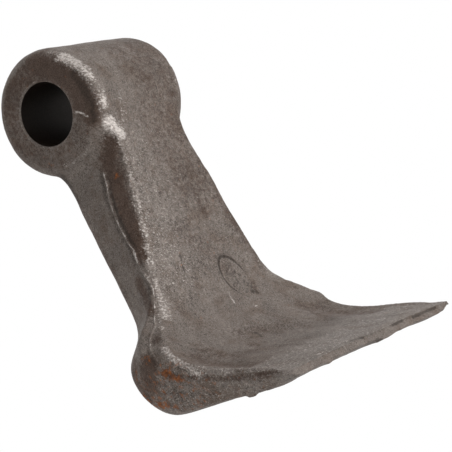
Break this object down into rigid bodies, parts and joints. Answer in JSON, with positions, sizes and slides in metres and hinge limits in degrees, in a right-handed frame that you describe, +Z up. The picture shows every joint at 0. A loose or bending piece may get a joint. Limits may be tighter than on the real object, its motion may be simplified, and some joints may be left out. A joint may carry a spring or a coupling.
{
  "type": "mulcher hammer",
  "caption": "Forged mulcher hammer: a pin eye, a widening shank and a foot swept forward into a wide cutting edge.",
  "frame": {"origin": "middle of the pin bore, on its axis", "axes": "+X along the bore, -Y forwards towards the cutting edge, +Z up, away from the cutting edge, as the hammer hangs"},
  "size_m": [0.103, 0.067, 0.1361],
  "materials": {
    "forged_steel": "as forged, dark mill scale with bare worn arrises and rust spots"
  },
  "bodies": {
    "root": {"hammer_blade": "forged_steel"}
  },
  "joints": []
}
